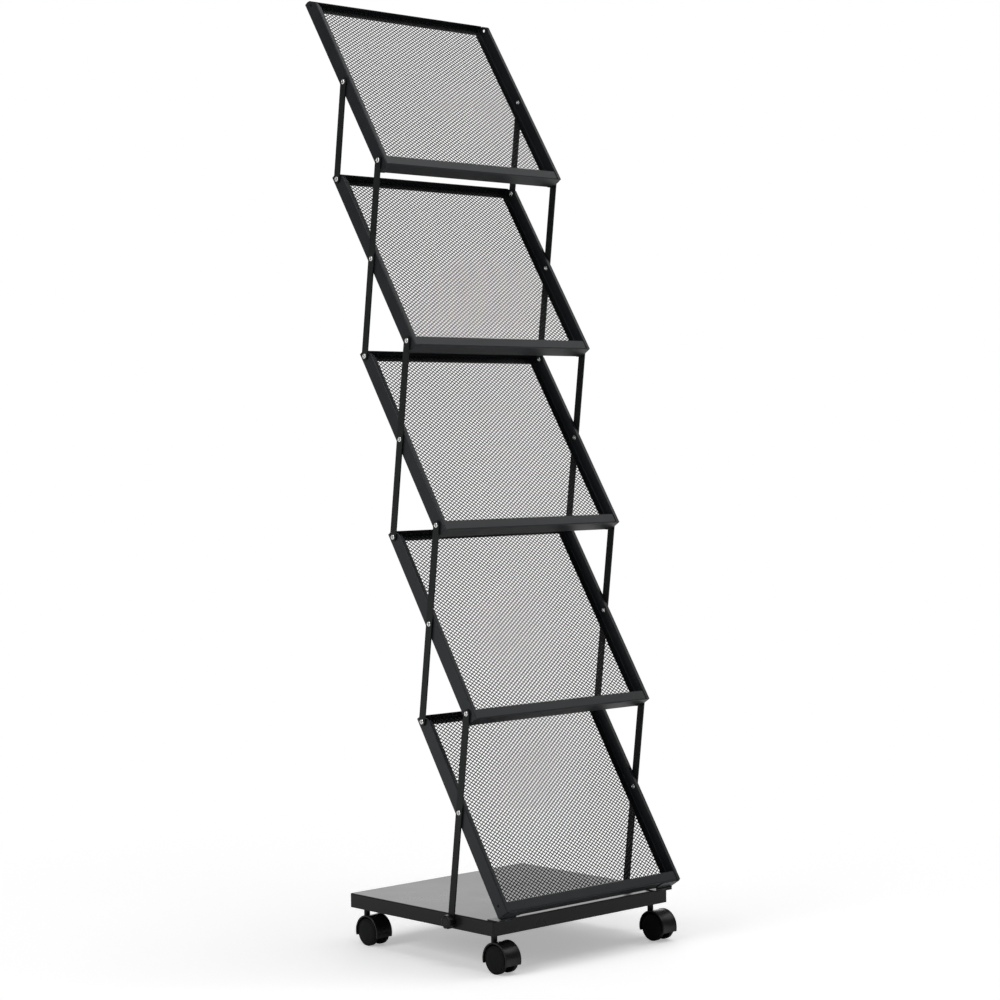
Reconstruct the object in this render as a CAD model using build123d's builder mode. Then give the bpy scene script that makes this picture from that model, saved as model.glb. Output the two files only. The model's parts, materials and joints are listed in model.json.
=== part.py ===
from build123d import *
import os
from math import cos, radians, sin

# A folding newspaper rack: five tilted trays hang on two lazy-tongs chains of flat links,
# and the lowest tray is hinged to a low wheeled base.
# X is the width, +Y is the back, +Z is up, z = 0 is the floor, millimetres and degrees.

# Driving dimensions: the folding chain
tray_count = 5
tray_angle = 57.8  # lean of a tray, from the horizontal
link_angle = 97.5  # lean of a link, past the vertical
pivot_spacing = 180.0  # between a tray's top, middle and bottom pivots
link_spacing = 177.0  # between a link's pivots

# Trays
tray_gap = 0.4  # the trays are this much narrower than the base, each side
tray_front = 15.0  # from the pivots to the tray's front face
tray_rear = 13.0  # from the pivots to the tray's back
tray_over = 12.0  # side panel above the top pivot
tray_under = 18.0  # side panel below the bottom pivot
tray_sheet = 1.2
bend_radius = 0.8  # inside radius of every bend
rear_flange = 14.0
front_hem = 8.0
hem_mitre = 28.0  # the hem tapers to nothing over this length at its top
end_chamfer = 16.0
end_rounding = 12.0
lip_height = 18.0
top_bar_height = 14.0
top_bar_roof = 13.0  # from the tray's back
mesh_thickness = 0.5
mesh_lap = 5.4  # of the mesh over each side panel's flange

# Links and rivets
link_width = 15.0
link_thickness = 2.5
link_gap = 0.8  # between a tray's side and its links
rivet_radius = 3.0
rivet_bore = 1.9
rivet_head_radius = 4.8
rivet_head_height = 1.3
rivet_tail_radius = 4.4
rivet_tail_height = 1.0
washer_radius = 5.2
running_gap = 0.05  # radial, where a pin turns in a hole
side_gap = 0.1  # endwise, where a flat face turns on another

# Base
base_width = 436.0
base_depth = 392.0
base_skirt = 26.0
base_sheet = 1.2
base_corner = 3.0
base_edge = 2.0

# Hinges of the lowest tray
hinge_forward = 13.3  # hinge axis in front of the base
hinge_drop = 2.5  # hinge axis below the tray
hinge_leaf = 1.8
hinge_knuckle = 2.4
hinge_pin = 1.2
base_leaf_width = 38.0
base_leaf_depth = 34.0
tray_leaf_width = 46.0
tray_leaf_depth = 22.0
leaf_corner = 6.0
leaf_inset = 1.5  # from the side panels
leaf_lift = 0.2  # between the base leaf and the turning knuckle

# Clamping knobs
clamp_drop = 13.3  # screws below the top of the base
screw_radius = 3.0
screw_clearance = 0.3
knob_radius = 12.5
knob_height = 11.0
knob_rounding = 2.0
knob_collar_radius = 8.0
knob_collar_height = 1.5
knob_flutes = 8
flute_radius = 4.0
flute_depth = 1.0
nut_width = 10.0
nut_height = 5.0
screw_tip = 2.0  # screw beyond the nut
notch_tilt = 15.0  # the foot's notch rises towards the front by this angle

# Castors
castor_inset = 22.0  # stem from the base's sides
wheel_radius = 25.0
wheel_width = 9.5
castor_width = 36.0
castor_trail = 19.0
hood_gap = 3.0
hood_wall = 3.0
hood_reach = 15.0  # the hood ends this many degrees below the axle
hood_lift = 11.0  # hood's crown below the skirt's edge
hood_web = 4.0
stem_radius = 5.5
stem_foot = 2.0  # the stem ends this far below the axle
stem_boss_wall = 2.5
socket_wall = 3.0
socket_flange_radius = 16.0
socket_flange = 2.0
socket_lift = 3.0  # socket's mouth above the skirt's edge
stem_collar_radius = 8.0
stem_collar = 2.5
axle_radius = 2.5
axle_boss_radius = 6.0
wheel_face = 2.5
wheel_rim = 3.0
wheel_dome = 0.8
wheel_edge = 1.0

# Directions of the trays and links
along = Vector(0, cos(radians(tray_angle)), sin(radians(tray_angle)))
outward = Vector(0, -sin(radians(tray_angle)), cos(radians(tray_angle)))
up_link = Vector(0, cos(radians(link_angle)), sin(radians(link_angle)))
across = Vector(1, 0, 0)

# Stations across the width, from the middle
base_half = base_width / 2
tray_half = base_half - tray_gap
wall_inside = tray_half - tray_sheet
link_inside = tray_half + link_gap
link_outside = link_inside + link_thickness

# Stations along a tray, from its middle pivot
side_top = pivot_spacing + tray_over
side_bottom = -pivot_spacing - tray_under

# Heights
hood_radius = wheel_radius + hood_gap + hood_wall
skirt_edge = wheel_radius + hood_radius + hood_lift
base_top = skirt_edge + base_skirt
deck_underside = base_top - base_sheet
hinge_height = base_top + hinge_leaf + leaf_lift + hinge_knuckle

# The lowest tray's middle pivot from its hinge, and the step from one tray to the next
hinge_to_middle = along * (hinge_drop - side_bottom) + outward * tray_rear
tray_step = up_link * link_spacing + along * pivot_spacing

# The rack is centred front to back between its lowest lip and its highest corner
front_reach = hinge_to_middle + along * side_bottom + outward * tray_front
rear_reach = hinge_to_middle + tray_step * (tray_count - 1) + along * side_top - outward * tray_rear
hinge_axis = Vector(0, -(front_reach.Y + rear_reach.Y) / 2, hinge_height)
base_front = hinge_axis.Y + hinge_forward
base_middle = base_front + base_depth / 2


def middle_pivot(tray):
    return hinge_axis + hinge_to_middle + tray_step * (tray_count - tray)


def foot_length():
    """From the lowest tray's middle pivot down its link to the clamping screw."""
    return (middle_pivot(tray_count).Z - base_top + clamp_drop) / up_link.Z


def side_plane(tray, x=0.0):
    """Looking along X: first coordinate along the tray, second towards its front."""
    return Plane(origin=middle_pivot(tray) + across * x, x_dir=along, z_dir=across)


def section_plane(tray, distance):
    """Across the tray: first coordinate is X, second towards its front, facing down it."""
    return Plane(origin=middle_pivot(tray) + along * distance, x_dir=across, z_dir=-along)


def face_plane(tray, distance):
    """Parallel to the mesh: first coordinate is X, second along the tray."""
    return Plane(origin=middle_pivot(tray) + outward * distance, x_dir=across, z_dir=outward)


def upright_plane(point):
    """Through a point: first coordinate is X, second is up."""
    return Plane(origin=point, x_dir=across, z_dir=(0, -1, 0))


def save(builder, name):
    builder.part.label = name
    export_step(builder.part, f"parts/{name}.step")


# Trays


def make_side(tray):
    """Right side panel: a channel with a rear flange, a front hem and three pivot holes."""
    bend = bend_radius + tray_sheet
    with BuildPart() as side:
        with BuildSketch(section_plane(tray, side_top)):
            with BuildLine():
                FilletPolyline(
                    (tray_half - rear_flange, -tray_rear),
                    (tray_half, -tray_rear),
                    (tray_half, tray_front),
                    (tray_half - front_hem, tray_front),
                    radius=bend,
                )
                offset(amount=tray_sheet, side=Side.LEFT)
            make_face()
        extrude(amount=side_top - side_bottom)
        with BuildSketch(side_plane(tray)) as outline:
            with BuildLine():
                Polyline(
                    (side_bottom, -tray_rear),
                    (side_top, -tray_rear),
                    (side_top, tray_front - end_chamfer),
                    (side_top - end_chamfer, tray_front),
                    (side_bottom, tray_front),
                    close=True,
                )
            make_face()
            chamfered = outline.vertices().sort_by(Axis.X)[-3:].sort_by(Axis.Y)[-2:]
            fillet(chamfered, radius=end_rounding)
        extrude(amount=base_half, mode=Mode.INTERSECT)
        with BuildSketch(face_plane(tray, tray_front)):
            with BuildLine():
                Polyline(
                    (tray_half, side_top),
                    (tray_half - front_hem, side_top),
                    (tray_half - front_hem, side_top - hem_mitre),
                    close=True,
                )
            make_face()
        extrude(amount=-tray_sheet, mode=Mode.SUBTRACT)
        with BuildSketch(side_plane(tray)):
            with Locations((pivot_spacing, 0), (0, 0), (-pivot_spacing, 0)):
                Circle(rivet_radius)
        extrude(amount=base_half, mode=Mode.SUBTRACT)
    return side


def mirrored(builder):
    with BuildPart() as copy:
        mirror(builder.part, about=Plane.YZ)
    return copy


def make_front_lip(tray):
    """Bottom wall and front lip in one bent strip, between the hems and the rear flanges."""
    lip_half = wall_inside - bend_radius
    lip_face = tray_front - tray_sheet
    with BuildPart() as lip:
        with BuildSketch(side_plane(tray, -lip_half)):
            with BuildLine():
                FilletPolyline(
                    (side_bottom, tray_sheet - tray_rear),
                    (side_bottom, lip_face),
                    (side_bottom + lip_height, lip_face),
                    radius=bend_radius + tray_sheet,
                )
                offset(amount=tray_sheet, side=Side.RIGHT)
            make_face()
        extrude(amount=2 * lip_half)
    return lip


def make_top_bar(tray):
    """Cross bar behind the top of the mesh; its roof runs in front of the rear flanges."""
    roof_half = wall_inside - bend_radius
    with BuildPart() as bar:
        with BuildSketch(side_plane(tray, -roof_half)):
            with BuildLine():
                FilletPolyline(
                    (side_top - top_bar_height, -tray_rear),
                    (side_top, -tray_rear),
                    (side_top, top_bar_roof - tray_rear),
                    radius=bend_radius + tray_sheet,
                )
                offset(amount=tray_sheet, side=Side.LEFT)
            make_face()
        extrude(amount=2 * roof_half)
        with BuildSketch(face_plane(tray, -tray_rear)):
            with Locations((tray_half, side_top), (-tray_half, side_top)):
                Rectangle(2 * rear_flange, 3 * top_bar_height)
        extrude(amount=tray_sheet, mode=Mode.SUBTRACT)
    return bar


def make_mesh(tray):
    """Panel of expanded metal, as a plain sheet, welded on the flanges and the top bar."""
    mesh_half = tray_half - rear_flange + mesh_lap
    mesh_bottom = side_bottom + tray_sheet
    mesh_top = side_top - tray_sheet - bend_radius
    with BuildPart() as mesh:
        with BuildSketch(face_plane(tray, tray_sheet - tray_rear)):
            with Locations((0, (mesh_top + mesh_bottom) / 2)):
                Rectangle(2 * mesh_half, mesh_top - mesh_bottom)
        extrude(amount=mesh_thickness)
    return mesh


def make_rivets(tray):
    """Tubular rivets with a washer under the link, turning in the link's hole."""
    stations = [0.0]
    if tray > 1:
        stations.append(pivot_spacing)
    if tray < tray_count:
        stations.append(-pivot_spacing)
    head_start = link_outside + side_gap
    with BuildPart() as rivets:
        for station in stations:
            centre = middle_pivot(tray) + along * station
            with BuildSketch(upright_plane(centre)):
                with BuildLine():
                    Polyline(
                        (wall_inside - rivet_tail_height, rivet_bore),
                        (wall_inside - rivet_tail_height, rivet_tail_radius - rivet_tail_height / 2),
                        (wall_inside - rivet_tail_height / 2, rivet_tail_radius),
                        (wall_inside, rivet_tail_radius),
                        (wall_inside, rivet_radius),
                        (tray_half, rivet_radius),
                        (tray_half, washer_radius),
                        (link_inside - side_gap, washer_radius),
                        (link_inside - side_gap, rivet_radius),
                        (head_start, rivet_radius),
                        (head_start, rivet_head_radius),
                        (head_start + rivet_head_height / 2, rivet_head_radius),
                        (head_start + rivet_head_height, rivet_head_radius - rivet_head_height / 2),
                        (head_start + rivet_head_height, rivet_bore),
                        close=True,
                    )
                make_face()
            revolve(axis=Axis(centre, across))
        mirror(about=Plane.YZ)
    return rivets


# Links


def make_links(tray):
    """The pair of flat links that cross a tray at its middle pivot."""
    above = 0.0 if tray == 1 else link_spacing
    below = foot_length() if tray == tray_count else link_spacing
    with BuildPart() as links:
        middle = middle_pivot(tray) + across * link_inside
        with BuildSketch(Plane(origin=middle, x_dir=up_link, z_dir=across)):
            with Locations(((above - below) / 2, 0)):
                SlotCenterToCenter(above + below, link_width)
            with Locations((0, 0)):
                Circle(rivet_radius + running_gap, mode=Mode.SUBTRACT)
            if tray > 1:
                with Locations((above, 0)):
                    Circle(rivet_radius + running_gap, mode=Mode.SUBTRACT)
            if tray < tray_count:
                with Locations((-below, 0)):
                    Circle(rivet_radius + running_gap, mode=Mode.SUBTRACT)
            else:
                notch = 2 * (screw_radius + screw_clearance)
                with Locations(Location((-below, 0), -notch_tilt)):
                    Circle(notch / 2, mode=Mode.SUBTRACT)
                    Rectangle(notch, link_width, align=(Align.CENTER, Align.MIN), mode=Mode.SUBTRACT)
        extrude(amount=link_thickness)
        mirror(about=Plane.YZ)
    return links


def clamp_point():
    return middle_pivot(tray_count) - up_link * foot_length()


def make_knob():
    """Right clamping knob: a fluted grip moulded on a screw."""
    grip_start = link_outside + side_gap + knob_collar_height
    screw_end = base_half - base_sheet - nut_height - screw_tip
    with BuildPart() as knob:
        with BuildSketch(Plane.YZ.offset(grip_start)):
            with Locations((clamp_point().Y, clamp_point().Z)):
                Circle(knob_radius)
        extrude(amount=knob_height)
        rims = knob.edges().filter_by(GeomType.CIRCLE)
        fillet(rims, radius=knob_rounding)
        with BuildSketch(Plane.YZ.offset(grip_start)):
            with Locations((clamp_point().Y, clamp_point().Z)):
                with PolarLocations(knob_radius + flute_radius - flute_depth, knob_flutes):
                    Circle(flute_radius)
        extrude(amount=knob_height, mode=Mode.SUBTRACT)
        with BuildSketch(Plane.YZ.offset(link_outside + side_gap)):
            with Locations((clamp_point().Y, clamp_point().Z)):
                Circle(knob_collar_radius)
        extrude(amount=knob_collar_height)
        with BuildSketch(Plane.YZ.offset(screw_end)):
            with Locations((clamp_point().Y, clamp_point().Z)):
                Circle(screw_radius)
        extrude(amount=grip_start - screw_end)
    return knob


def make_knob_nuts():
    """Weld nuts inside the skirt, one for each knob's screw."""
    with BuildPart() as nuts:
        with BuildSketch(Plane.YZ.offset(base_half - base_sheet - nut_height)):
            with Locations((clamp_point().Y, clamp_point().Z)):
                RegularPolygon(nut_width / 2, 6, major_radius=False)
                Circle(screw_radius + running_gap, mode=Mode.SUBTRACT)
        extrude(amount=nut_height)
        mirror(about=Plane.YZ)
    return nuts


# Base


def make_base_pan():
    """Flat deck with a folded skirt all round, open below."""
    with BuildPart() as pan:
        with BuildSketch(Plane.XY.offset(skirt_edge)):
            with Locations((0, base_middle)):
                RectangleRounded(base_width, base_depth, base_corner)
        extrude(amount=base_skirt)
        fillet(pan.faces().sort_by(Axis.Z)[-1].edges(), radius=base_edge)
        offset(amount=-base_sheet, openings=pan.faces().sort_by(Axis.Z)[0])
        with BuildSketch(Plane.YZ.offset(-base_half)):
            with Locations((clamp_point().Y, clamp_point().Z)):
                Circle(screw_radius + screw_clearance)
        extrude(amount=base_width, mode=Mode.SUBTRACT)
    return pan


def hinge_plane(x):
    """Looking along X at the lowest tray's hinge axis: Y first, Z second."""
    return Plane(origin=hinge_axis + across * x, x_dir=(0, 1, 0), z_dir=across)


def knuckle_bands():
    """Outer end and length of the base leaf's first, the tray leaf's and the base leaf's last knuckle."""
    third = base_leaf_width / 3
    outer = wall_inside - leaf_inset
    return [(outer - step * third, third - side_gap) for step in range(3)]


def make_base_leaves():
    """Hinge leaves that lie on the deck and reach out in front of the base."""
    outer = wall_inside - leaf_inset
    first, _, last = knuckle_bands()
    front = hinge_axis.Y - hinge_knuckle
    with BuildPart() as leaves:
        with BuildSketch(Plane.XY.offset(base_top)):
            with Locations((outer, front)):
                Rectangle(base_leaf_width, base_leaf_depth, align=(Align.MAX, Align.MIN))
        extrude(amount=hinge_leaf)
        inner_edge = leaves.edges().filter_by(Axis.Z).sort_by(Axis.X)[:2]
        fillet(inner_edge, radius=leaf_corner)
        for outer_end, length in (first, last):
            with BuildSketch(Plane.XY.offset(base_top + hinge_leaf)):
                with Locations((outer_end, hinge_axis.Y)):
                    Rectangle(length, 2 * hinge_pin, align=(Align.MAX, Align.CENTER))
            extrude(amount=hinge_height - base_top - hinge_leaf)
            with BuildSketch(hinge_plane(outer_end - length)):
                Circle(hinge_knuckle)
            extrude(amount=length)
            with BuildSketch(hinge_plane(outer_end - length)):
                Circle(hinge_pin)
            extrude(amount=length, mode=Mode.SUBTRACT)
        mirror(about=Plane.YZ)
    return leaves


def make_tray_leaves():
    """Hinge leaves welded under the lowest tray's bottom wall."""
    outer = wall_inside - leaf_inset
    knuckle_end, length = knuckle_bands()[1]
    tray_bottom = middle_pivot(tray_count) + along * side_bottom
    under_tray = Plane(origin=tray_bottom, x_dir=across, z_dir=-along)
    with BuildPart() as leaves:
        with BuildSketch(under_tray):
            with Locations((outer, tray_sheet + hinge_knuckle - tray_rear)):
                Rectangle(tray_leaf_width, tray_leaf_depth, align=(Align.MAX, Align.MIN))
        extrude(amount=hinge_leaf)
        inner_edge = leaves.edges().filter_by(Axis(hinge_axis, along)).sort_by(Axis.X)[:2]
        fillet(inner_edge, radius=leaf_corner)
        with BuildSketch(under_tray):
            with Locations((knuckle_end, -tray_rear)):
                Rectangle(length, tray_leaf_depth / 2, align=(Align.MAX, Align.MIN))
        extrude(amount=hinge_leaf)
        with BuildSketch(hinge_plane(knuckle_end - length)):
            Circle(hinge_knuckle)
        extrude(amount=length)
        with BuildSketch(hinge_plane(knuckle_end - length)):
            Circle(hinge_pin + running_gap)
        extrude(amount=length, mode=Mode.SUBTRACT)
        mirror(about=Plane.YZ)
    return leaves


def make_hinge_pins():
    bands = knuckle_bands()
    inner_end = bands[2][0] - bands[2][1]
    with BuildPart() as pins:
        with BuildSketch(hinge_plane(inner_end)):
            Circle(hinge_pin)
        extrude(amount=bands[0][0] - inner_end)
        mirror(about=Plane.YZ)
    return pins


# Castors


def castor_places():
    """Name and stem position of each castor."""
    x = base_half - castor_inset
    front = base_front + castor_inset
    rear = base_front + base_depth - castor_inset
    return [
        ("front_left", Vector(-x, front, 0)),
        ("front_right", Vector(x, front, 0)),
        ("rear_left", Vector(-x, rear, 0)),
        ("rear_right", Vector(x, rear, 0)),
    ]


def axle_centre(stem):
    return stem + Vector(0, -castor_trail, wheel_radius)


def make_castor_sockets():
    """Flanged sleeves welded under the deck."""
    stems = [stem for _, stem in castor_places()]
    mouth = skirt_edge + socket_lift
    with BuildPart() as sockets:
        with BuildSketch(Plane.XY.offset(deck_underside - socket_flange)):
            with Locations(*stems):
                Circle(socket_flange_radius)
        extrude(amount=socket_flange)
        with BuildSketch(Plane.XY.offset(mouth)):
            with Locations(*stems):
                Circle(stem_radius + socket_wall)
        extrude(amount=deck_underside - mouth)
        with BuildSketch(Plane.XY.offset(mouth)):
            with Locations(*stems):
                Circle(stem_radius)
        extrude(amount=deck_underside - mouth, mode=Mode.SUBTRACT)
    return sockets


def make_castor_stems():
    """Steel stems pressed into the sockets, with a collar at each socket's mouth."""
    stems = [stem for _, stem in castor_places()]
    foot = wheel_radius - stem_foot
    with BuildPart() as posts:
        with BuildSketch(Plane.XY.offset(foot)):
            with Locations(*stems):
                Circle(stem_radius)
        extrude(amount=deck_underside - foot)
        with BuildSketch(Plane.XY.offset(skirt_edge + socket_lift - stem_collar)):
            with Locations(*stems):
                Circle(stem_collar_radius)
        extrude(amount=stem_collar)
    return posts


def make_hood(stem):
    """Swivelling hood: a shell over both wheels, a web, and bosses for the stem and the axle."""
    centre = axle_centre(stem)
    boss_radius = stem_radius + stem_boss_wall
    foot = wheel_radius - stem_foot
    drop = hood_radius * sin(radians(hood_reach))
    left_face = Plane(origin=centre - across * castor_width / 2, x_dir=(0, 1, 0), z_dir=across)
    web_face = Plane(origin=centre - across * hood_web / 2, x_dir=(0, 1, 0), z_dir=across)
    boss_half = castor_width / 2 - wheel_width - side_gap
    boss_face = Plane(origin=centre - across * boss_half, x_dir=(0, 1, 0), z_dir=across)
    with BuildPart() as hood:
        with BuildSketch(left_face):
            Circle(hood_radius)
            Circle(hood_radius - hood_wall, mode=Mode.SUBTRACT)
            with Locations((0, -drop)):
                Rectangle(2 * hood_radius, hood_radius, align=(Align.CENTER, Align.MAX), mode=Mode.SUBTRACT)
        extrude(amount=castor_width)
        with BuildSketch(web_face):
            Circle(hood_radius - hood_wall)
            with Locations((0, -drop)):
                Rectangle(2 * hood_radius, hood_radius, align=(Align.CENTER, Align.MAX), mode=Mode.SUBTRACT)
        extrude(amount=hood_web)
        with BuildSketch(Plane.XY.offset(foot - stem_boss_wall)):
            with Locations(stem):
                Circle(boss_radius)
        extrude(amount=stem_boss_wall + stem_foot + hood_radius * 2 / 3)
        with BuildSketch(boss_face):
            Circle(axle_boss_radius)
        extrude(amount=2 * boss_half)
        with BuildSketch(Plane.XY.offset(foot - side_gap)):
            with Locations(stem):
                Circle(stem_radius + running_gap)
        extrude(amount=skirt_edge - foot, mode=Mode.SUBTRACT)
        with BuildSketch(boss_face):
            Circle(axle_radius)
        extrude(amount=2 * boss_half, mode=Mode.SUBTRACT)
    return hood


def make_axle(stem):
    half_length = castor_width / 2 - wheel_face - side_gap
    start = axle_centre(stem) - across * half_length
    with BuildPart() as axle:
        with BuildSketch(Plane(origin=start, x_dir=(0, 1, 0), z_dir=across)):
            Circle(axle_radius)
        extrude(amount=2 * half_length)
    return axle


def make_wheel(stem, side):
    """Cupped wheel with a closed, slightly domed face; side is -1 for left and 1 for right."""
    face = castor_width / 2
    inner = face - wheel_width
    floor = face - wheel_face
    centre = axle_centre(stem)
    tread = wheel_radius
    outline = [
        (inner, tread - wheel_rim),
        (inner, tread - wheel_edge),
        (inner + wheel_edge, tread),
        (face - wheel_dome - wheel_edge, tread),
        (face - wheel_dome, tread - wheel_edge),
        (face, axle_boss_radius),
        (face, 0),
        (floor, 0),
        (floor, axle_radius + running_gap),
        (inner, axle_radius + running_gap),
        (inner, axle_boss_radius),
        (floor - wheel_dome, axle_boss_radius),
        (floor - wheel_dome, tread - wheel_rim),
    ]
    with BuildPart() as wheel:
        with BuildSketch(upright_plane(centre)):
            with BuildLine():
                Polyline(*[(side * x, radius) for x, radius in outline], close=True)
            make_face()
        revolve(axis=Axis(centre, across))
    return wheel


os.makedirs("parts", exist_ok=True)

for tray in range(1, tray_count + 1):
    right_side = make_side(tray)
    save(right_side, f"tray_{tray}_right_side")
    save(mirrored(right_side), f"tray_{tray}_left_side")
    save(make_front_lip(tray), f"tray_{tray}_front_lip")
    save(make_top_bar(tray), f"tray_{tray}_top_bar")
    save(make_mesh(tray), f"tray_{tray}_mesh")
    save(make_rivets(tray), f"tray_{tray}_rivets")
    save(make_links(tray), f"links_{tray}")

right_knob = make_knob()
save(right_knob, "knob_right")
save(mirrored(right_knob), "knob_left")
save(make_knob_nuts(), "knob_nuts")

save(make_base_pan(), "base_pan")
save(make_base_leaves(), "base_hinge_leaves")
save(make_tray_leaves(), "tray_hinge_leaves")
save(make_hinge_pins(), "hinge_pins")

save(make_castor_sockets(), "castor_sockets")
save(make_castor_stems(), "castor_stems")
for place, stem in castor_places():
    save(make_hood(stem), f"castor_{place}_hood")
    save(make_axle(stem), f"castor_{place}_axle")
    save(make_wheel(stem, -1), f"castor_{place}_left_wheel")
    save(make_wheel(stem, 1), f"castor_{place}_right_wheel")
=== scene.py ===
import json
from math import atan2, cos, pi, radians, sin

import bmesh
import bpy
from mathutils import Matrix, Vector


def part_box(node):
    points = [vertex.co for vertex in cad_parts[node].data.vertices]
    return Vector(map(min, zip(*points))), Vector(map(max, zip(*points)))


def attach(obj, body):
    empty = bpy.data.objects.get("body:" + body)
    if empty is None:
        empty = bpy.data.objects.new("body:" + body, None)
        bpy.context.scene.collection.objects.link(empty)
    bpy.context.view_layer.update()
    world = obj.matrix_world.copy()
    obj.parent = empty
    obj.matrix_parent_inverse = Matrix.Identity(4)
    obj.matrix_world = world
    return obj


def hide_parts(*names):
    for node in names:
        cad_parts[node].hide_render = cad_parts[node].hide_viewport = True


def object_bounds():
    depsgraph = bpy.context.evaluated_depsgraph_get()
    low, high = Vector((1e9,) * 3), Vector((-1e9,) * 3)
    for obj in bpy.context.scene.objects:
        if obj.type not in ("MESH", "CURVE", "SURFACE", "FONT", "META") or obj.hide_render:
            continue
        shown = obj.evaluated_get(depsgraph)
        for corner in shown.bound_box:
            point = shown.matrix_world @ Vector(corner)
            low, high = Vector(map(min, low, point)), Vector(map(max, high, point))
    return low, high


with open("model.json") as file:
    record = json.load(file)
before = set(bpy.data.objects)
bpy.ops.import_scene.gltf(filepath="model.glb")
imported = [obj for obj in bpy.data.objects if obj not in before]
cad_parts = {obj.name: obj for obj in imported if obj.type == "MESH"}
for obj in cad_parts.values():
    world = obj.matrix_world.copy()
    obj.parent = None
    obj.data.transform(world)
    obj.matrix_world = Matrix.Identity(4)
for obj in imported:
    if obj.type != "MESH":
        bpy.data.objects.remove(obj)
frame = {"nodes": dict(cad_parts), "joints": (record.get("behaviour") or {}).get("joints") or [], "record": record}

# A folding newspaper rack in black powder-coated steel. The steel sheets and links are the
# frame's own nodes with their finishes; the expanded-metal panels, rivets, castors and knobs
# are modelled here around them. Metres, in the frame's own axes.

mm = 0.001
cad_low, cad_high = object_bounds()
tray_sheet = 1.2 * mm

# The trays' lean, read from the top tray's two pivots; the trays stay parallel
pivots = {joint["name"]: Vector(joint["pos_m"]) for joint in frame["joints"] if "pos_m" in joint}
tray_along = (pivots["tray_1_middle_pivot"] - pivots["tray_1_bottom_pivot"]).normalized()
tray_lean = atan2(tray_along.z, tray_along.y)
tray_outward = Vector((0, -tray_along.z, tray_along.y))
tray_names = [f"tray_{number}" for number in range(1, 6)]


# ---------------------------------------------------------------- finishes


def new_group(name, inputs, outputs):
    """An empty shader node group with the sockets named, and its two end nodes."""
    group = bpy.data.node_groups.new(name, "ShaderNodeTree")
    for socket, kind, value in inputs:
        made = group.interface.new_socket(name=socket, in_out="INPUT", socket_type=kind)
        made.default_value = value
    for socket, kind in outputs:
        group.interface.new_socket(name=socket, in_out="OUTPUT", socket_type=kind)
    return group, group.nodes.new("NodeGroupInput"), group.nodes.new("NodeGroupOutput")


def make_surface_group():
    """Coating with faint patches, fine grain, and a little dust or rubbing in spots."""
    group, start, end = new_group(
        "coated_surface",
        [
            ("Colour", "NodeSocketColor", (0.02, 0.02, 0.02, 1)),
            ("Patch Colour", "NodeSocketColor", (0.03, 0.03, 0.03, 1)),
            ("Patch Scale", "NodeSocketFloat", 9.0),
            ("Smooth", "NodeSocketFloat", 0.3),
            ("Rough", "NodeSocketFloat", 0.45),
            ("Grain Scale", "NodeSocketFloat", 1400.0),
            ("Grain Depth", "NodeSocketFloat", 0.00003),
            ("Dust Colour", "NodeSocketColor", (0.2, 0.2, 0.2, 1)),
            ("Dust", "NodeSocketFloat", 0.05),
        ],
        [
            ("Colour", "NodeSocketColor"),
            ("Roughness", "NodeSocketFloat"),
            ("Normal", "NodeSocketVector"),
        ],
    )
    nodes, link = group.nodes, group.links.new
    place = nodes.new("ShaderNodeTexCoord")

    patches = nodes.new("ShaderNodeTexNoise")
    patches.inputs["Detail"].default_value = 5
    patches.inputs["Roughness"].default_value = 0.6
    link(place.outputs["Object"], patches.inputs["Vector"])
    link(start.outputs["Patch Scale"], patches.inputs["Scale"])

    spread = nodes.new("ShaderNodeMapRange")
    spread.inputs["From Min"].default_value = 0.35
    spread.inputs["From Max"].default_value = 0.68
    link(patches.outputs["Fac"], spread.inputs["Value"])

    tint = nodes.new("ShaderNodeMix")
    tint.data_type = "RGBA"
    link(spread.outputs["Result"], tint.inputs["Factor"])
    link(start.outputs["Colour"], tint.inputs["A"])
    link(start.outputs["Patch Colour"], tint.inputs["B"])

    specks = nodes.new("ShaderNodeTexNoise")
    specks.inputs["Scale"].default_value = 420
    specks.inputs["Detail"].default_value = 3
    link(place.outputs["Object"], specks.inputs["Vector"])
    sparse = nodes.new("ShaderNodeMapRange")
    sparse.inputs["From Min"].default_value = 0.62
    sparse.inputs["From Max"].default_value = 0.8
    link(specks.outputs["Fac"], sparse.inputs["Value"])
    amount = nodes.new("ShaderNodeMath")
    amount.operation = "MULTIPLY"
    link(sparse.outputs["Result"], amount.inputs[0])
    link(start.outputs["Dust"], amount.inputs[1])
    dusted = nodes.new("ShaderNodeMix")
    dusted.data_type = "RGBA"
    link(amount.outputs["Value"], dusted.inputs["Factor"])
    link(tint.outputs["Result"], dusted.inputs["A"])
    link(start.outputs["Dust Colour"], dusted.inputs["B"])
    link(dusted.outputs["Result"], end.inputs["Colour"])

    rough = nodes.new("ShaderNodeMapRange")
    link(spread.outputs["Result"], rough.inputs["Value"])
    link(start.outputs["Smooth"], rough.inputs["To Min"])
    link(start.outputs["Rough"], rough.inputs["To Max"])
    link(rough.outputs["Result"], end.inputs["Roughness"])

    grain = nodes.new("ShaderNodeTexNoise")
    grain.inputs["Detail"].default_value = 2
    link(place.outputs["Object"], grain.inputs["Vector"])
    link(start.outputs["Grain Scale"], grain.inputs["Scale"])
    bump = nodes.new("ShaderNodeBump")
    bump.inputs["Strength"].default_value = 0.5
    link(start.outputs["Grain Depth"], bump.inputs["Distance"])
    link(grain.outputs["Fac"], bump.inputs["Height"])
    link(bump.outputs["Normal"], end.inputs["Normal"])
    return group


surface_group = make_surface_group()


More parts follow.
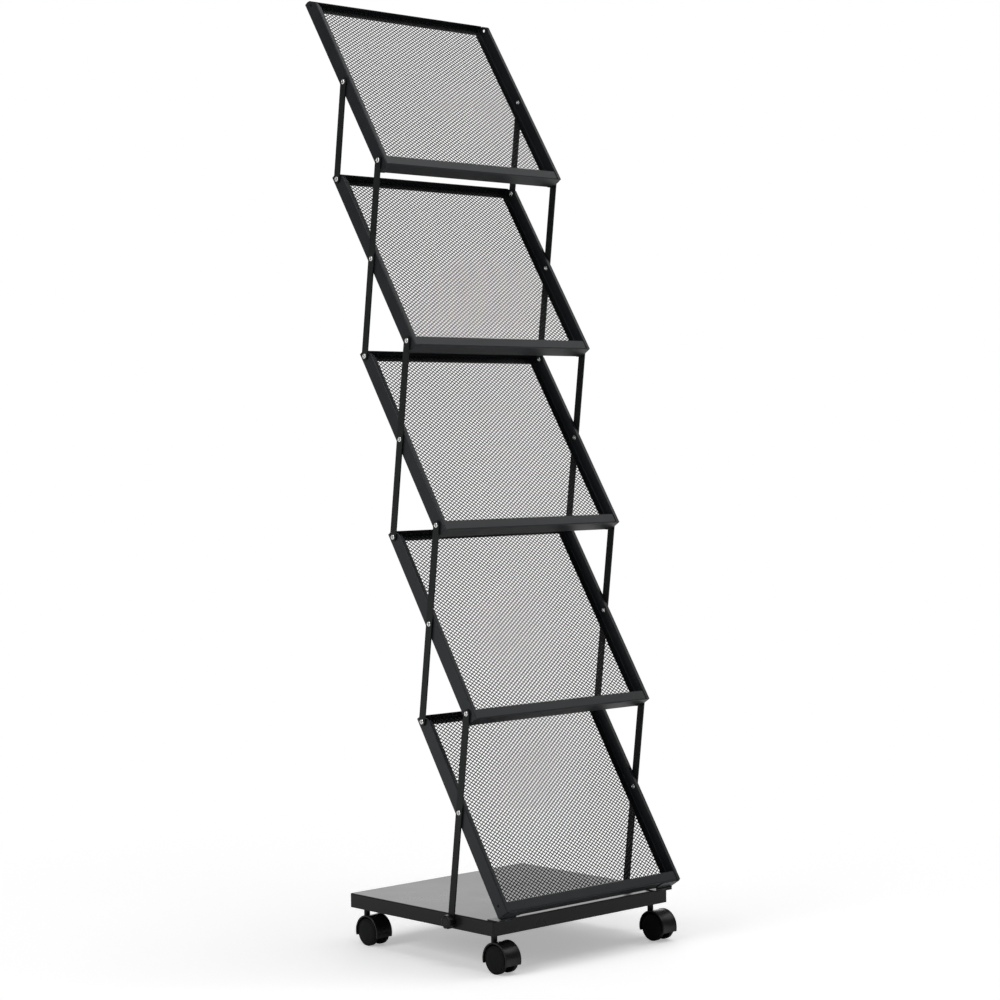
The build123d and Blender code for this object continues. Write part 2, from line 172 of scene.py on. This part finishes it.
def coated(name, values, metallic=0.0, specular=0.5):
    """A Principled material that wears the coated surface with its own values."""
    material = bpy.data.materials.new(name)
    material.use_nodes = True
    nodes, link = material.node_tree.nodes, material.node_tree.links.new
    shader = nodes["Principled BSDF"]
    shader.inputs["Metallic"].default_value = metallic
    shader.inputs["Specular IOR Level"].default_value = specular
    surface = nodes.new("ShaderNodeGroup")
    surface.node_tree = surface_group
    for socket, value in values.items():
        surface.inputs[socket].default_value = value
    link(surface.outputs["Colour"], shader.inputs["Base Color"])
    link(surface.outputs["Roughness"], shader.inputs["Roughness"])
    link(surface.outputs["Normal"], shader.inputs["Normal"])
    return material


def grey(red, green=None, blue=None):
    """An opaque colour, neutral unless green and blue are given."""
    return (red, red if green is None else green, red if blue is None else blue, 1)


tray_coat = coated(
    "tray_powder_coat",
    {
        "Colour": grey(0.0100, 0.0120, 0.0145),
        "Patch Colour": grey(0.0125, 0.0145, 0.0170),
        "Patch Scale": 14.0,
        "Smooth": 0.34,
        "Rough": 0.40,
        "Grain Scale": 1500.0,
        "Grain Depth": 0.00004,
        "Dust": 0.05,
    },
    specular=0.3,
)
link_coat = coated(
    "link_powder_coat",
    {
        "Colour": grey(0.0120, 0.0135, 0.0135),
        "Patch Colour": grey(0.0150, 0.0165, 0.0160),
        "Patch Scale": 22.0,
        "Smooth": 0.34,
        "Rough": 0.44,
        "Grain Scale": 1500.0,
        "Grain Depth": 0.00004,
        "Dust": 0.05,
    },
    specular=0.14,
)
base_coat = coated(
    "base_powder_coat",
    {
        "Colour": grey(0.0105, 0.0105, 0.0108),
        "Patch Colour": grey(0.0125, 0.0125, 0.0128),
        "Patch Scale": 7.0,
        "Smooth": 0.27,
        "Rough": 0.30,
        "Grain Scale": 1100.0,
        "Grain Depth": 0.00002,
        "Dust": 0.0,
    },
    specular=0.22,
)
mesh_coat = coated(
    "mesh_powder_coat",
    {
        "Colour": grey(0.0055, 0.0055, 0.0060),
        "Patch Colour": grey(0.0075, 0.0075, 0.0080),
        "Patch Scale": 30.0,
        "Smooth": 0.46,
        "Rough": 0.58,
        "Grain Scale": 1800.0,
        "Grain Depth": 0.00003,
        "Dust": 0.04,
    },
    specular=0.12,
)
bright_zinc = coated(
    "bright_zinc",
    {
        "Colour": grey(0.80, 0.80, 0.78),
        "Patch Colour": grey(0.66, 0.67, 0.66),
        "Patch Scale": 260.0,
        "Smooth": 0.16,
        "Rough": 0.30,
        "Grain Scale": 2600.0,
        "Grain Depth": 0.00002,
        "Dust Colour": grey(0.35, 0.34, 0.32),
        "Dust": 0.2,
    },
    metallic=1.0,
)
dull_zinc = coated(
    "dull_zinc",
    {
        "Colour": grey(0.42, 0.42, 0.41),
        "Patch Colour": grey(0.34, 0.34, 0.34),
        "Patch Scale": 180.0,
        "Smooth": 0.30,
        "Rough": 0.45,
        "Grain Scale": 2200.0,
        "Grain Depth": 0.00003,
        "Dust": 0.1,
    },
    metallic=1.0,
)
black_steel = coated(
    "blackened_steel",
    {
        "Colour": grey(0.020, 0.020, 0.021),
        "Patch Colour": grey(0.030, 0.030, 0.031),
        "Patch Scale": 160.0,
        "Smooth": 0.34,
        "Rough": 0.46,
        "Grain Scale": 2200.0,
        "Grain Depth": 0.00003,
        "Dust": 0.06,
    },
    metallic=0.6,
    specular=0.3,
)
knob_plastic = coated(
    "knob_plastic",
    {
        "Colour": grey(0.0070, 0.0070, 0.0074),
        "Patch Colour": grey(0.0095, 0.0095, 0.0099),
        "Patch Scale": 60.0,
        "Smooth": 0.30,
        "Rough": 0.42,
        "Grain Scale": 2400.0,
        "Grain Depth": 0.00005,
        "Dust": 0.08,
    },
    specular=0.3,
)
hood_plastic = coated(
    "castor_hood_plastic",
    {
        "Colour": grey(0.0060, 0.0060, 0.0062),
        "Patch Colour": grey(0.0085, 0.0085, 0.0087),
        "Patch Scale": 45.0,
        "Smooth": 0.26,
        "Rough": 0.38,
        "Grain Scale": 2000.0,
        "Grain Depth": 0.00005,
        "Dust": 0.08,
    },
    specular=0.35,
)
wheel_plastic = coated(
    "castor_wheel_plastic",
    {
        "Colour": grey(0.0050, 0.0053, 0.0053),
        "Patch Colour": grey(0.0075, 0.0080, 0.0078),
        "Patch Scale": 70.0,
        "Smooth": 0.42,
        "Rough": 0.56,
        "Grain Scale": 1900.0,
        "Grain Depth": 0.00008,
        "Dust": 0.1,
    },
    specular=0.12,
)

finish_of_slot = {
    "tray_black": tray_coat,
    "link_black": link_coat,
    "base_black": base_coat,
    "mesh_black": mesh_coat,
    "rivet_zinc": bright_zinc,
    "zinc_steel": dull_zinc,
    "knob_plastic": knob_plastic,
    "castor_hood": hood_plastic,
    "castor_wheel": wheel_plastic,
}
finish_of_node = {"castor_stems": black_steel}


def dress_frame():
    """Gives each of the frame's own nodes the finish of its slot, or one of its own."""
    for subpart in frame["record"]["subparts"]:
        name = subpart["node"]
        finish = finish_of_node.get(name, finish_of_slot[subpart["material_slot"]])
        materials = frame["nodes"][name].data.materials
        materials.clear()
        materials.append(finish)


# ---------------------------------------------------------------- modelling by hand


def pick(test, kind="faces"):
    """In edit mode, selects only the faces or vertices that pass the test."""
    mesh = bmesh.from_edit_mesh(bpy.context.object.data)
    for item in list(mesh.faces) + list(mesh.edges) + list(mesh.verts):
        item.select = False
    for item in getattr(mesh, kind):
        if test(item):
            item.select_set(True)
    mesh.select_flush_mode()
    bmesh.update_edit_mesh(bpy.context.object.data)


def edit(select_mode):
    bpy.ops.object.mode_set(mode="EDIT")
    bpy.ops.mesh.select_mode(type=select_mode)


def object_mode():
    bpy.ops.object.mode_set(mode="OBJECT")


def only(piece):
    """Makes this the one selected and active object."""
    bpy.ops.object.select_all(action="DESELECT")
    piece.select_set(True)
    bpy.context.view_layer.objects.active = piece


def settle(piece):
    """Puts the object's place and turn into its mesh."""
    only(piece)
    bpy.ops.object.transform_apply(location=True, rotation=True, scale=True)


def modify(piece, kind, **values):
    """Adds a modifier and applies it."""
    only(piece)
    modifier = piece.modifiers.new(kind.lower(), kind)
    for name, value in values.items():
        setattr(modifier, name, value)
    bpy.ops.object.modifier_apply(modifier=modifier.name)


def grow(outline, radius, height):
    """Extrudes the selected cap through the outline's rings, each a radius and a height."""
    for ring_radius, ring_height in outline:
        bpy.ops.mesh.extrude_region_move(
            TRANSFORM_OT_translate={"value": (0, 0, ring_height - height)}
        )
        share = ring_radius / radius
        bpy.ops.transform.resize(value=(share, share, 1), center_override=(0, 0, 0))
        radius, height = ring_radius, ring_height


def turned(name, body, upper, lower, segments):
    """A turned piece along Z: a cylinder, then rings outwards from its two ends."""
    radius, bottom, top = body
    middle = (top + bottom) / 2
    bpy.ops.object.select_all(action="DESELECT")
    bpy.ops.mesh.primitive_cylinder_add(
        vertices=segments, radius=radius, depth=top - bottom, location=(0, 0, middle)
    )
    piece = bpy.context.object
    piece.name = name
    settle(piece)
    edit("FACE")
    pick(lambda face: face.normal.z > 0.9 and face.calc_center_median().z > middle)
    grow(upper, radius, top)
    pick(
        lambda face: len(face.verts) == segments
        and face.normal.z < -0.9
        and face.calc_center_median().z < middle
    )
    grow(lower, radius, bottom)
    object_mode()
    return piece


def face_sideways(piece, side, centre):
    """Turns a piece made along Z to point along side * X, about the given centre, and settles it."""
    piece.rotation_euler = (0, side * pi / 2, 0)
    piece.location = centre
    settle(piece)


def twin(piece, name, offset):
    """A copy with its own mesh, moved by the offset."""
    copy = piece.copy()
    copy.data = piece.data.copy()
    copy.name = name
    bpy.context.scene.collection.objects.link(copy)
    copy.location = offset
    settle(copy)
    return copy


def joined(pieces, name):
    """Joins the pieces into the first one."""
    only(pieces[0])
    for piece in pieces:
        piece.select_set(True)
    bpy.ops.object.join()
    pieces[0].name = name
    return pieces[0]


def finish_piece(piece, body, material, slot, *nodes):
    """Paints a finished piece, says where it rides, and hides the frame nodes it stands in for."""
    piece.data.materials.clear()
    piece.data.materials.append(material)
    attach(piece, body)
    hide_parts(*nodes)


def smooth(piece, angle):
    """Smooth shading, broken at edges sharper than the angle in degrees."""
    only(piece)
    bpy.ops.object.shade_smooth_by_angle(angle=radians(angle))


def box_centre(node):
    """The middle of a frame node's box."""
    low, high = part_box(node)
    return (low + high) / 2


# ---------------------------------------------------------------- expanded metal

diamond_length = 10.2 * mm
diamond_height = 7.3 * mm
diamond_lean = 1.4 * mm
strand = 1.5 * mm
strand_lift = 0.2 * mm
mesh_gauge = 0.8 * mm
clear_of_middle = 0.1 * mm
weld = 0.02 * mm


def make_expanded_panel(name, width, length):
    """Expanded metal, lying flat and centred: diamonds whose strands lean like slats."""
    bpy.ops.object.select_all(action="DESELECT")
    bpy.ops.mesh.primitive_circle_add(vertices=4, radius=1, fill_type="NGON")
    panel = bpy.context.object
    panel.name = name
    panel.scale = (diamond_length / 2, diamond_height / 2, 1)
    settle(panel)

    edit("VERT")
    for side in (1, -1):
        pick(lambda vert: side * vert.co.y > clear_of_middle, "verts")
        bpy.ops.transform.translate(value=(side * diamond_lean / 2, 0, 0))
    bpy.ops.mesh.select_mode(type="FACE")
    pick(lambda face: True)
    bpy.ops.mesh.inset(thickness=strand / 2)
    bpy.ops.mesh.delete(type="FACE")
    bpy.ops.mesh.select_mode(type="VERT")
    inner = diamond_height / 2 - clear_of_middle
    for side in (1, -1):
        pick(lambda vert: clear_of_middle < side * vert.co.y < inner, "verts")
        bpy.ops.transform.translate(value=(0, 0, side * strand_lift))
    object_mode()

    rows = int(length / diamond_height) + 2
    columns = int((width + rows * diamond_lean) / diamond_length) + 2
    for count, step in (
        (2, ((diamond_length + diamond_lean) / 2, diamond_height / 2, 0)),
        (columns, (diamond_length, 0, 0)),
        (rows, (diamond_lean, diamond_height, 0)),
    ):
        modify(
            panel,
            "ARRAY",
            count=count,
            use_relative_offset=False,
            use_constant_offset=True,
            constant_offset_displace=step,
            use_merge_vertices=True,
            merge_threshold=weld,
        )
    across = (columns - 0.5) * diamond_length + (rows - 0.5) * diamond_lean
    panel.location = (-across / 2, -(rows - 0.5) * diamond_height / 2, 0)
    settle(panel)

    trim_panel(panel, width, length)
    modify(panel, "SOLIDIFY", thickness=mesh_gauge, offset=0)
    return panel


def trim_panel(panel, width, length):
    """Cuts the flat mesh to its width and length, and merges what the copies share."""
    only(panel)
    edit("VERT")
    for normal, distance in (
        ((1, 0, 0), width / 2),
        ((-1, 0, 0), width / 2),
        ((0, 1, 0), length / 2),
        ((0, -1, 0), length / 2),
    ):
        bpy.ops.mesh.select_all(action="SELECT")
        edge = Vector(normal) * distance
        bpy.ops.mesh.bisect(plane_co=edge, plane_no=normal, clear_outer=True, use_fill=False)
    bpy.ops.mesh.select_all(action="SELECT")
    bpy.ops.mesh.remove_doubles(threshold=weld)
    bpy.ops.mesh.delete_loose()
    bpy.ops.mesh.select_all(action="SELECT")
    bpy.ops.mesh.normals_make_consistent(inside=False)
    object_mode()


def make_mesh_panels():
    """One panel of expanded metal in each tray, laid on the flanges' inner faces."""
    low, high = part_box("tray_1_mesh")
    sheet = 0.5 * mm
    width = high.x - low.x
    length = (high.z - low.z - sheet * cos(tray_lean)) / sin(tray_lean)
    lift = mesh_gauge / 2 + strand_lift - sheet / 2
    first = make_expanded_panel("tray_1_expanded_mesh", width, length)
    first.rotation_euler = (tray_lean, 0, 0)
    first.location = box_centre("tray_1_mesh") + tray_outward * lift
    settle(first)
    panels = [first]
    for tray in tray_names[1:]:
        offset = box_centre(f"{tray}_mesh") - box_centre("tray_1_mesh")
        panels.append(twin(first, f"{tray}_expanded_mesh", offset))
    for tray, panel in zip(tray_names, panels):
        finish_piece(panel, tray, mesh_coat, "mesh_black", f"{tray}_mesh")


# ---------------------------------------------------------------- rivets


def make_rivet(name):
    """Tubular rivet along Z from the tray's inside wall at z = 0: rolled tail, washer, domed head."""
    wall = tray_sheet
    washer_top = 1.9 * mm
    head_start = 4.6 * mm
    shank = 3.0 * mm
    head = 4.8 * mm
    upper = [
        (5.1 * mm, wall),
        (5.1 * mm, washer_top),
        (shank, washer_top),
        (shank, head_start),
        (head - 0.1 * mm, head_start),
        (head, head_start + 0.25 * mm),
        (head - 0.25 * mm, head_start + 0.75 * mm),
        (head - 0.9 * mm, head_start + 1.15 * mm),
        (head - 1.7 * mm, head_start + 1.3 * mm),
        (2.4 * mm, head_start + 1.15 * mm),
        (2.0 * mm, head_start + 0.7 * mm),
        (1.9 * mm, washer_top),
    ]
    lower = [
        (4.2 * mm, 0),
        (4.4 * mm, -0.35 * mm),
        (4.1 * mm, -0.8 * mm),
        (3.4 * mm, -1.0 * mm),
        (2.5 * mm, -0.9 * mm),
        (2.0 * mm, -0.5 * mm),
        (1.9 * mm, wall),
    ]
    rivet = turned(name, (shank, 0.2 * mm, wall), upper, [(shank, 0)] + lower, 28)
    smooth(rivet, 50)
    return rivet


def make_rivets():
    """Each tray's rivets, at its riveted pivots on both sides."""
    side_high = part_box("tray_1_right_side")[1]
    wall_inside = side_high.x - tray_sheet
    spacing = (pivots["tray_1_middle_pivot"] - pivots["tray_1_bottom_pivot"]).length
    model = make_rivet("rivet_model")
    for number, tray in enumerate(tray_names, start=1):
        steps = [0] + ([1] if number > 1 else []) + ([-1] if number < len(tray_names) else [])
        copies = []
        for step in steps:
            centre = pivots[f"{tray}_middle_pivot"] + tray_along * spacing * step
            for side in (-1, 1):
                copy = twin(model, f"{tray}_rivet_{step}_{side}", (0, 0, 0))
                face_sideways(copy, side, Vector((side * wall_inside, centre.y, centre.z)))
                copies.append(copy)
        rivets = joined(copies, f"{tray}_tubular_rivets")
        finish_piece(rivets, tray, bright_zinc, "rivet_zinc", f"{tray}_rivets")
    bpy.data.objects.remove(model)


# ---------------------------------------------------------------- castors

castor_places = ["front_left", "front_right", "rear_left", "rear_right"]


def make_wheel(name, centre, side):
    """Cupped wheel with a rounded tread, a fine groove round its face and a shallow dome."""
    tread = 25.0 * mm
    upper = [
        (24.8 * mm, 16.7 * mm),
        (24.3 * mm, 17.1 * mm),
        (23.3 * mm, 17.3 * mm),
        (22.9 * mm, 17.2 * mm),
        (22.6 * mm, 16.6 * mm),
        (21.9 * mm, 16.6 * mm),
        (21.6 * mm, 17.2 * mm),
        (21.0 * mm, 17.45 * mm),
        (17.0 * mm, 17.7 * mm),
        (12.0 * mm, 17.88 * mm),
        (7.0 * mm, 17.97 * mm),
        (2.0 * mm, 18.0 * mm),
    ]
    lower = [
        (24.8 * mm, 8.8 * mm),
        (24.3 * mm, 8.5 * mm),
        (22.2 * mm, 8.5 * mm),
        (22.0 * mm, 8.7 * mm),
        (21.8 * mm, 14.6 * mm),
        (6.2 * mm, 14.8 * mm),
        (6.0 * mm, 8.6 * mm),
        (2.6 * mm, 8.6 * mm),
        (2.6 * mm, 12.0 * mm),
    ]
    wheel = turned(name, (tread, 9.3 * mm, 16.2 * mm), upper, lower, 72)
    smooth(wheel, 40)
    face_sideways(wheel, side, centre)
    return wheel


def make_hood(name, axle, stem):
    """Hood: a drum with a rim at each side, hollowed to a middle web and cut off under the axle."""
    outside = 31.0 * mm
    cut_angle = radians(15)
    rim = [
        (outside, 15.4 * mm),
        (outside, 17.6 * mm),
        (30.6 * mm, 18.0 * mm),
        (28.4 * mm, 18.0 * mm),
        (28.0 * mm, 17.6 * mm),
        (28.0 * mm, 2.0 * mm),
    ]
    waist = (30.3 * mm, -14.7 * mm, 14.7 * mm)
    mirrored_rim = [(radius, -height) for radius, height in rim]
    hood = turned(name, waist, rim, mirrored_rim, 96)
    face_sideways(hood, 1, axle)

    edit("FACE")
    bpy.ops.mesh.select_all(action="SELECT")
    cut = axle - Vector((0, 0, outside * sin(cut_angle)))
    bpy.ops.mesh.bisect(plane_co=cut, plane_no=(0, 0, -1), clear_outer=True, use_fill=True)
    object_mode()

    boss = turned("boss", (8.0 * mm, -5.0 * mm, 22.0 * mm), [], [(7.4 * mm, -5.6 * mm)], 40)
    boss.location = (stem.x, stem.y, axle.z)
    settle(boss)
    hub = turned("hub", (6.0 * mm, -8.2 * mm, 8.2 * mm), [], [], 40)
    face_sideways(hub, 1, axle)
    for tool in (boss, hub):
        modify(hood, "BOOLEAN", object=tool, operation="UNION", solver="EXACT")
        bpy.data.objects.remove(tool)
    modify(
        hood,
        "BEVEL",
        width=0.45 * mm,
        segments=2,
        limit_method="ANGLE",
        angle_limit=radians(40),
        use_clamp_overlap=True,
    )
    smooth(hood, 40)
    return hood


def make_castors():
    """Models one castor and copies its pieces to the other three corners."""
    first = castor_places[0]
    hood_node = f"castor_{first}_hood"
    axle = box_centre(f"castor_{first}_axle")
    stem = pivots[f"castor_{first}_swivel"]
    hood = make_hood(f"castor_{first}_moulded_hood", axle, stem)
    wheels = {
        side: make_wheel(f"castor_{first}_{side}_moulded_wheel", axle, turn)
        for side, turn in (("left", -1), ("right", 1))
    }
    copies = {first: (hood, wheels)}
    for place in castor_places[1:]:
        offset = box_centre(f"castor_{place}_hood") - box_centre(hood_node)
        copied_hood = twin(hood, f"castor_{place}_moulded_hood", offset)
        copied_wheels = {
            side: twin(wheel, f"castor_{place}_{side}_moulded_wheel", offset)
            for side, wheel in wheels.items()
        }
        copies[place] = (copied_hood, copied_wheels)
    for place, (placed_hood, placed_wheels) in copies.items():
        body = f"castor_{place}"
        finish_piece(placed_hood, body, hood_plastic, "castor_hood", f"{body}_hood")
        for side, wheel in placed_wheels.items():
            node = f"{body}_{side}_wheel"
            finish_piece(wheel, node, wheel_plastic, "castor_wheel", node)


# ---------------------------------------------------------------- knobs


def make_knob(name, side):
    """Fluted grip with a ringed cap, moulded on a steel screw."""
    node = f"knob_{side}"
    low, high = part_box(node)
    tip = min(abs(low.x), abs(high.x))
    face = max(abs(low.x), abs(high.x))
    grip = 12.5 * mm
    start = face - 11.0 * mm
    collar = start - 1.5 * mm
    upper = [
        (8.0 * mm, collar),
        (8.0 * mm, start - 0.2 * mm),
        (11.2 * mm, start),
        (12.2 * mm, start + 0.5 * mm),
        (grip, start + 1.4 * mm),
        (grip, start + 5.0 * mm),
        (grip, face - 2.4 * mm),
        (12.1 * mm, face - 1.2 * mm),
        (11.2 * mm, face - 0.4 * mm),
        (9.6 * mm, face - 0.05 * mm),
        (8.6 * mm, face),
        (8.2 * mm, face - 0.5 * mm),
        (7.7 * mm, face - 0.5 * mm),
        (7.3 * mm, face - 0.05 * mm),
        (4.0 * mm, face),
    ]
    knob = turned(name, (3.0 * mm, tip + 0.5 * mm, collar), upper, [(2.5 * mm, tip)], 64)
    press_flutes()
    smooth(knob, 40)
    centre = box_centre(node)
    face_sideways(knob, -1 if side == "left" else 1, Vector((0, centre.y, centre.z)))
    finish_piece(knob, node, knob_plastic, "knob_plastic", node)
    knob.data.materials.append(dull_zinc)
    for polygon in knob.data.polygons:
        if abs(polygon.center.x) < collar - 0.1 * mm:
            polygon.material_index = 1


def press_flutes():
    """Presses shallow flutes into the active knob's rim, each deepest along its middle."""
    edit("VERT")
    flute = 2 * pi / 8
    for reach, share in ((0.35, 0.975), (0.25, 0.975), (0.13, 0.98)):
        pick(
            lambda vert: vert.co.xy.length > 9.7 * mm
            and abs((atan2(vert.co.y, vert.co.x) + flute / 2) % flute - flute / 2) < reach * flute,
            "verts",
        )
        bpy.ops.transform.resize(value=(share, share, 1), center_override=(0, 0, 0))
    object_mode()


# ---------------------------------------------------------------- floor, light and camera


def make_floor():
    """A sheet of pale paper that reaches past the horizon."""
    bpy.ops.object.select_all(action="DESELECT")
    bpy.ops.mesh.primitive_plane_add(size=60, location=(0, 0, 0))
    floor = bpy.context.object
    floor.name = "studio_floor"
    paper = bpy.data.materials.new("studio_paper")
    paper.use_nodes = True
    shader = paper.node_tree.nodes["Principled BSDF"]
    shader.inputs["Base Color"].default_value = grey(0.9)
    shader.inputs["Roughness"].default_value = 0.9
    shader.inputs["Specular IOR Level"].default_value = 0.1
    shader.inputs["Emission Color"].default_value = grey(1.0)
    # painted glow on the paper, weaker near the rack, which paints shade round the rack
    paint_floor_glow(paper, shader)
    floor.data.materials.append(paper)


def make_air():
    """White air behind the rack, which lights it only faintly."""
    world = bpy.data.worlds.new("studio_air")
    world.use_nodes = True
    bpy.context.scene.world = world
    nodes, link = world.node_tree.nodes, world.node_tree.links.new
    faint = nodes["Background"]
    seen = nodes.new("ShaderNodeBackground")
    for background, strength in ((faint, 0.12), (seen, 1.0)):
        background.inputs["Color"].default_value = grey(1.0)
        background.inputs["Strength"].default_value = strength
    path = nodes.new("ShaderNodeLightPath")
    choose = nodes.new("ShaderNodeMixShader")
    link(path.outputs["Is Camera Ray"], choose.inputs["Fac"])
    link(faint.outputs["Background"], choose.inputs[1])
    link(seen.outputs["Background"], choose.inputs[2])
    link(choose.outputs["Shader"], nodes["World Output"].inputs["Surface"])


def add_lights():
    """Key from the left, a wide one overhead, a weak fill, and a wall for the deck to reflect."""
    add_softbox("key_softbox", (-3.6, 0.2, 2.6), 2.2, 62)
    add_softbox("top_softbox", (0.4, -0.6, 4.6), 3.4, 85)
    add_softbox("right_softbox", (3.0, -1.6, 3.4), 2.4, 26)
    add_softbox("back_wall_light", (3.0, 3.2, 1.3), 3.0, 40)


def paint_floor_glow(paper, shader):
    """Painted glow: far from the rack the paper glows as white as the air, directly and in reflections.

    Near the rack the glow is weaker and only the camera sees it, which paints shade on the paper round the rack.
    """
    near_glow = 0.38
    nodes, link = paper.node_tree.nodes, paper.node_tree.links.new
    place = nodes.new("ShaderNodeTexCoord")
    reach = nodes.new("ShaderNodeVectorMath")
    reach.operation = "LENGTH"
    link(place.outputs["Object"], reach.inputs[0])
    lift = nodes.new("ShaderNodeMapRange")
    lift.interpolation_type = "SMOOTHSTEP"
    lift.inputs["From Min"].default_value = 0.4
    lift.inputs["From Max"].default_value = 1.6
    link(reach.outputs["Value"], lift.inputs["Value"])
    path = nodes.new("ShaderNodeLightPath")
    seen = nodes.new("ShaderNodeMath")
    seen.operation = "MAXIMUM"
    link(path.outputs["Is Camera Ray"], seen.inputs[0])
    link(path.outputs["Is Glossy Ray"], seen.inputs[1])
    share = nodes.new("ShaderNodeMath")
    share.operation = "MULTIPLY"
    link(lift.outputs["Result"], share.inputs[0])
    link(seen.outputs["Value"], share.inputs[1])
    near = nodes.new("ShaderNodeMath")
    near.operation = "MULTIPLY"
    near.inputs[1].default_value = near_glow
    link(path.outputs["Is Camera Ray"], near.inputs[0])
    link(near.outputs["Value"], shader.inputs["Emission Strength"])
    glow = nodes.new("ShaderNodeEmission")
    blend = nodes.new("ShaderNodeMixShader")
    link(share.outputs["Value"], blend.inputs["Fac"])
    link(shader.outputs["BSDF"], blend.inputs[1])
    link(glow.outputs["Emission"], blend.inputs[2])
    link(blend.outputs["Shader"], nodes["Material Output"].inputs["Surface"])


def add_softbox(name, place, size, power):
    """Square area light aimed at the rack's middle, which the camera doesn't see."""
    middle = (cad_low + cad_high) / 2
    data = bpy.data.lights.new(name, "AREA")
    data.size = size
    data.energy = power
    softbox = bpy.data.objects.new(name, data)
    softbox.location = place
    softbox.visible_camera = False
    aim = (middle - Vector(place)).to_track_quat("-Z", "Y")
    softbox.rotation_euler = aim.to_euler()
    bpy.context.scene.collection.objects.link(softbox)


def make_camera():
    """Long lens, in front and to the left, at about half the rack's height."""
    low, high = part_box("base_pan")
    data = bpy.data.cameras.new("camera")
    data.sensor_width = 36
    data.lens = 85.9
    data.clip_end = 50
    camera = bpy.data.objects.new("camera", data)
    place = Vector((-2.980, low.y - 3.038, high.z + 0.8186))
    yaw, pitch, roll = radians(42.58), radians(-1.25), radians(-0.78)
    camera.matrix_world = (
        Matrix.Translation(place)
        @ Matrix.Rotation(-yaw, 4, "Z")
        @ Matrix.Rotation(pi / 2 + pitch, 4, "X")
        @ Matrix.Rotation(roll, 4, "Z")
    )
    bpy.context.scene.collection.objects.link(camera)
    bpy.context.scene.camera = camera
    bpy.context.scene.view_settings.view_transform = "Standard"


dress_frame()
make_mesh_panels()
make_rivets()
make_castors()
make_knob("knob_left_grip", "left")
make_knob("knob_right_grip", "right")
make_floor()
make_air()
add_lights()
make_camera()
